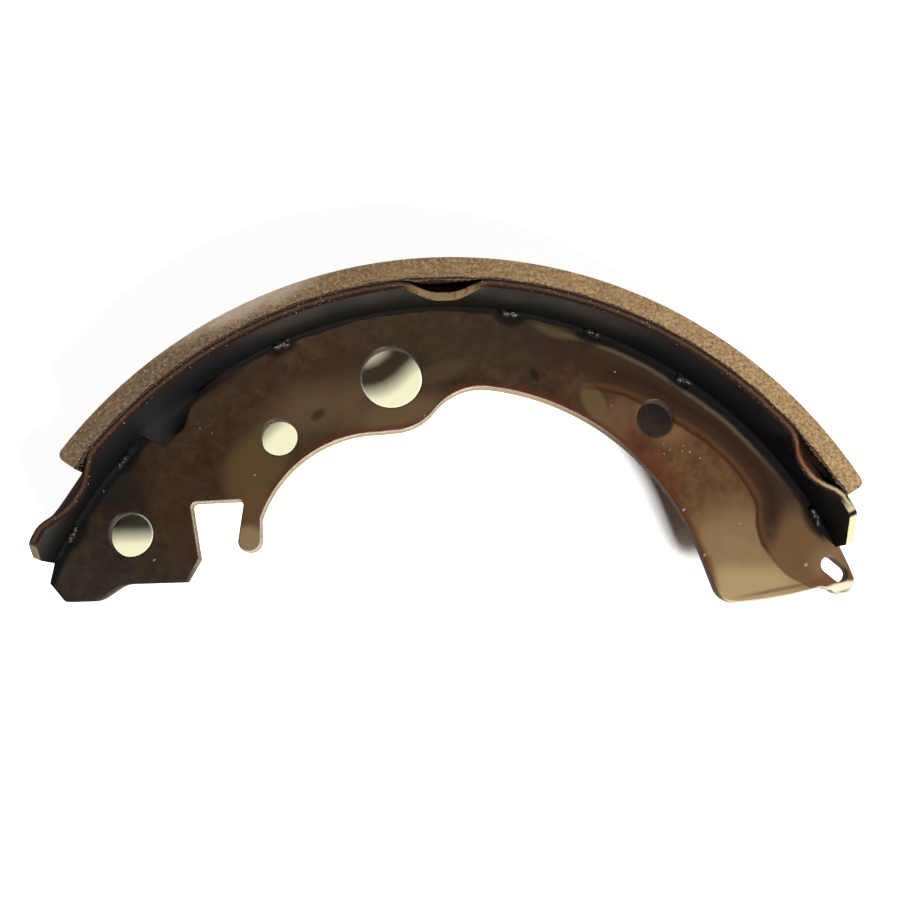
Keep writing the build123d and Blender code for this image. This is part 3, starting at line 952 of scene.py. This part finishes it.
def lumps(centers, half_sizes, turns, seed, roughness, rings=12, around=16):
    """Closed lumps, one for each row of centers (polar: radius, angle, height).

    Each is an egg: along the arc l cos(u), and across it the circle of sin(u), swollen
    by 1 + k sin(3u + p) sin(2v + q) and a finer wave. Both ends are small flat caps.
    """
    rng = np.random.default_rng(seed)
    u = np.linspace(0.12, np.pi - 0.12, rings)[None, :, None]
    v = np.linspace(0, 2 * np.pi, around, endpoint=False)[None, None, :]
    count = len(centers)
    phases = rng.uniform(0, 2 * np.pi, (4, count, 1, 1))
    swell = (1 + roughness * np.sin(3 * u + phases[0]) * np.sin(2 * v + phases[1])
             + 0.6 * roughness * np.sin(5 * u + phases[2]) * np.sin(3 * v + phases[3]))
    along, across, up = (half_sizes[:, n][:, None, None] for n in range(3))
    a = along * np.cos(u) * np.ones_like(v)
    b = across * np.sin(u) * np.cos(v) * swell
    c = up * np.sin(u) * np.sin(v) * swell
    turn = np.radians(turns)[:, None, None]
    a, b = a * np.cos(turn) - b * np.sin(turn), a * np.sin(turn) + b * np.cos(turn)
    middle, angle, height = (centers[:, n][:, None, None] for n in range(3))
    points = polar_points(middle + b, angle + np.degrees(a / middle), height + c)
    starts = np.arange(count)[:, None, None] * rings * around
    return points.reshape(-1, 3), (tube_faces(rings, around)[None] + starts).reshape(-1, 4)


print("faces of one lump:", len(tube_faces(12, 16)))

# %% [markdown]
# ## Weld nuggets
# Resistance welds squeeze small nuggets into the corner between web and rim, on both
# faces of the web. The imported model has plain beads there, and the rough nuggets take
# their place. Three eggs at each weld look less regular than one.

# %% Weld nuggets, on both faces of the web
NUGGET_STEPS = (-0.55, 0.1, 0.7)               # degrees from the middle of a weld
rng = np.random.default_rng(7)
count = len(WELD_ANGLES) * len(NUGGET_STEPS)
angles = (np.repeat(WELD_ANGLES, len(NUGGET_STEPS)) + rng.normal(0, 0.35, count)
          + np.tile(NUGGET_STEPS, len(WELD_ANGLES)))
sizes = np.stack([rng.uniform(1.0, 1.7, count), rng.uniform(0.55, 0.95, count),
                  rng.uniform(0.6, 1.0, count)], axis=1)
places = np.stack([RIM_INNER - rng.uniform(0.35, 0.8, count), angles,
                   np.full(count, WEB_FACE + 0.15)], axis=1)
faces_up_and_down = [
    lumps(places * np.array([1, 1, side]), sizes, rng.uniform(-25, 25, count), seed, 0.22)
    for side, seed in ((1, 11), (-1, 12))]
nuggets = add_piece("weld_nuggets", *joined(faces_up_and_down), weld_metal)
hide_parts("weld_beads")
print("nuggets:", 2 * count)

# %% [markdown]
# ## Glue
# Glue is pressed out as a thin bead along both edges of the lining, and crumbs of it
# hang at the toe. A noise bump could hint at it, but the bead has to stand free over
# the dips of the rim, so it is a tube whose section changes along the arc.

# %% Glue pressed out along both edges of the lining


def dip_share(angle):
    """How deep the rim's edge dips at an angle, from 0 to 1, by the rule of the pads."""
    total = np.zeros_like(angle)
    for middle, half, depth in PADS:
        inside = np.clip((angle - middle) / half, -1, 1)
        total = total + 1 - (1 - (0.5 + 0.5 * np.cos(np.pi * inside))) ** DIP_POWER
    return np.clip(total, 0, 1)


def glue_bead(side):
    """A closed bead whose section is an ellipse that swells and shrinks along the arc.

    r = c + w cos(t) and z = z0 + h sin(t). Beside the rim it rests on the lining's edge.
    Over a dip it hangs inward by up to half a millimetre.
    """
    angle = np.linspace(*LINING_SPAN, 1300)[:, None]
    t = np.linspace(0, 2 * np.pi, 10, endpoint=False)[None, :]
    share = np.clip(dip_share(angle) * 2.2, 0, 1)
    rough = wander(angle, 3 + side, (0.9, 0.37, 5.3, 0.23), (0.05, 0.05, 0.07, 0.04))
    width = np.clip(0.15 + 0.22 * share + rough * (0.8 + 1.2 * share), 0.06, 0.9)
    center = RIM_OUTER + 0.07 + 0.75 * width * (1 - share) - 0.22 * share
    high = 0.09 + 0.2 * share
    radius = center + width * np.cos(t)
    radius = np.where(share < 0.15, np.maximum(radius, RIM_OUTER + 0.02), radius)
    height = side * (LINING_EDGE + 0.08 - 0.2 * share + high * np.sin(t))
    points = polar_points(radius, angle, height).reshape(-1, 3)
    faces = tube_faces(len(angle), t.shape[1])
    return points, faces if side < 0 else faces[:, ::-1]


glue = add_piece("glue_beads", *joined([glue_bead(1), glue_bead(-1)]), adhesive)
CRUMBS = 16
crumb_rng = np.random.default_rng(5)
crumbs = np.stack([crumb_rng.uniform(94.2, 95.3, CRUMBS),
                   crumb_rng.uniform(LINING_SPAN[0], LINING_SPAN[0] + 2.5, CRUMBS),
                   crumb_rng.uniform(16.3, 17.2, CRUMBS)], axis=1)
crumb_sizes = crumb_rng.uniform(0.15, 0.45, (CRUMBS, 3))
crumb_mesh = lumps(crumbs, crumb_sizes, crumb_rng.uniform(0, 180, CRUMBS), 21, 0.3, 8, 8)
glue_crumbs = add_piece("glue_crumbs", *crumb_mesh, adhesive)
print("glue faces:", len(glue.data.polygons), "and", len(glue_crumbs.data.polygons))

# %% [markdown]
# ## Pooled varnish
# Varnish pools in the corner between web and rim, and dries with a hollow face, like
# solder in a joint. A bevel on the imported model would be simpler, but its meshes are
# left alone, so the pool is a strip of its own that bites a little into both.

# %% Varnish pooled in the corner between web and rim
RUN_SPANS = ((-66.0, -46.2), (-32.0, 66.7))    # angles where the web reaches the rim


def corner_run(start, end, side, seed):
    """A closed strip along the corner, with a hollow face like a soldered joint.

    Across it, with w from 0 at the web to 1 at the rim, the face is at
    r = R - a (1 - w) ** 1.8 and z = z0 + b w ** 1.8.
    """
    angle = np.linspace(start, end, int(abs(end - start) * 6))[:, None]
    taper = np.clip(np.minimum(angle - start, end - angle) / 1.5, 0.05, 1)
    a = (1.15 + wander(angle, seed, (31, 11, 3.7), (0.16, 0.12, 0.07))) * taper
    b = (0.8 + wander(angle, seed + 1, (27, 9, 3.1), (0.14, 0.1, 0.06))) * taper
    w = np.linspace(0, 1, 9)[None, :]
    face_r = RIM_INNER + 0.05 - a * (1 - w) ** 1.8
    face_z = WEB_FACE + 0.01 + b * w ** 1.8
    back_r = np.broadcast_to(RIM_INNER + 0.25, (len(angle), 1))
    back_z = WEB_FACE - 0.2 + 0 * angle
    radius = np.concatenate([face_r, back_r, back_r, face_r[:, :1]], axis=1)
    height = np.concatenate([face_z, face_z[:, -1:], back_z, back_z], axis=1) * side
    points = polar_points(radius, angle, height).reshape(-1, 3)
    faces = tube_faces(len(angle), radius.shape[1])
    return points, faces if side > 0 else faces[:, ::-1]


run_places = [(start, end, side) for side in (1, -1) for start, end in RUN_SPANS]
runs = [corner_run(*place, 40 + n) for n, place in enumerate(run_places)]
pooled = add_piece("pooled_varnish", *joined(runs), rim_varnish)
print("pooled varnish faces:", len(pooled.data.polygons))
